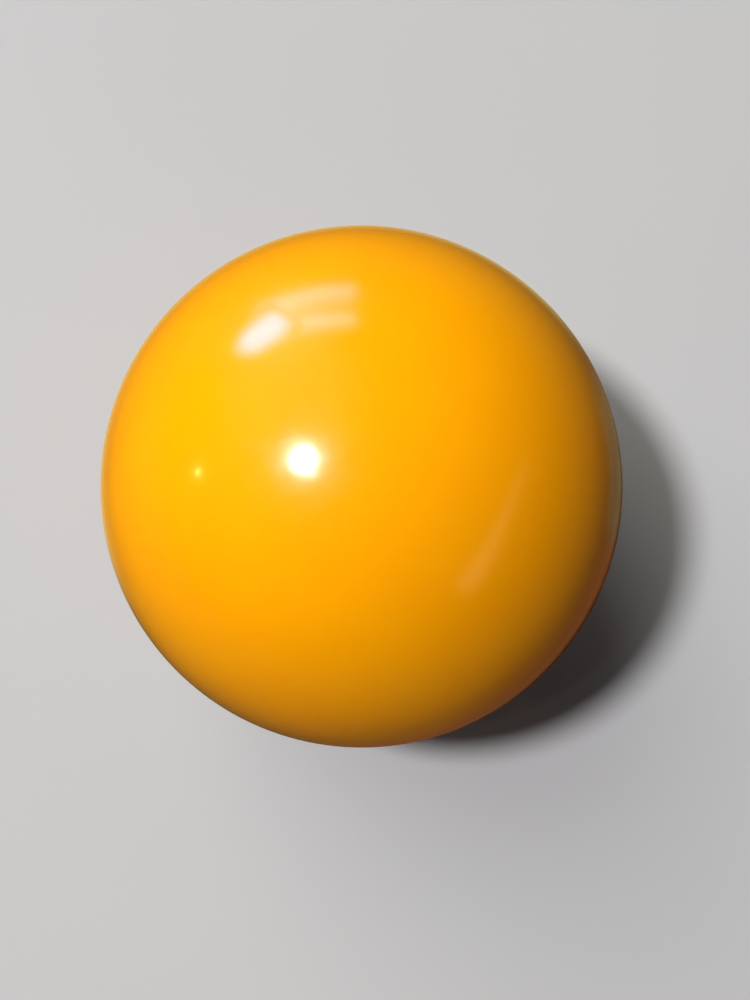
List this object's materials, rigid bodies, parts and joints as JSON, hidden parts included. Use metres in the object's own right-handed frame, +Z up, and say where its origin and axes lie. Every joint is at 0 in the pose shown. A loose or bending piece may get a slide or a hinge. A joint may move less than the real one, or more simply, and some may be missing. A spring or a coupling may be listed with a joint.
{
  "type": "juggling ball",
  "caption": "Hollow round juggling ball of glossy soft plastic, with an air valve moulded into its wall and a small flush plug that pulls out to reach the valve.",
  "frame": {"origin": "the ball's centre", "axes": "+Z up, away from the surface the ball lies on; +Y along the valve's axis, out of its mouth; +X to the right when the valve faces away"},
  "size_m": [0.07, 0.07, 0.07],
  "materials": {
    "shell_pvc": "gloss",
    "plug_pvc": "satin",
    "valve_pvc": "satin",
    "core_rubber": "matte"
  },
  "bodies": {
    "ball": {"ball_shell": "shell_pvc", "valve_body": "valve_pvc", "valve_core": "core_rubber"},
    "plug": {"closing_plug": "plug_pvc"}
  },
  "joints": [
    {"name": "plug_pull", "type": "slide", "parent": "ball", "child": "plug", "axis": [0, 1, 0], "range_m": [0, 0.02]}
  ]
}
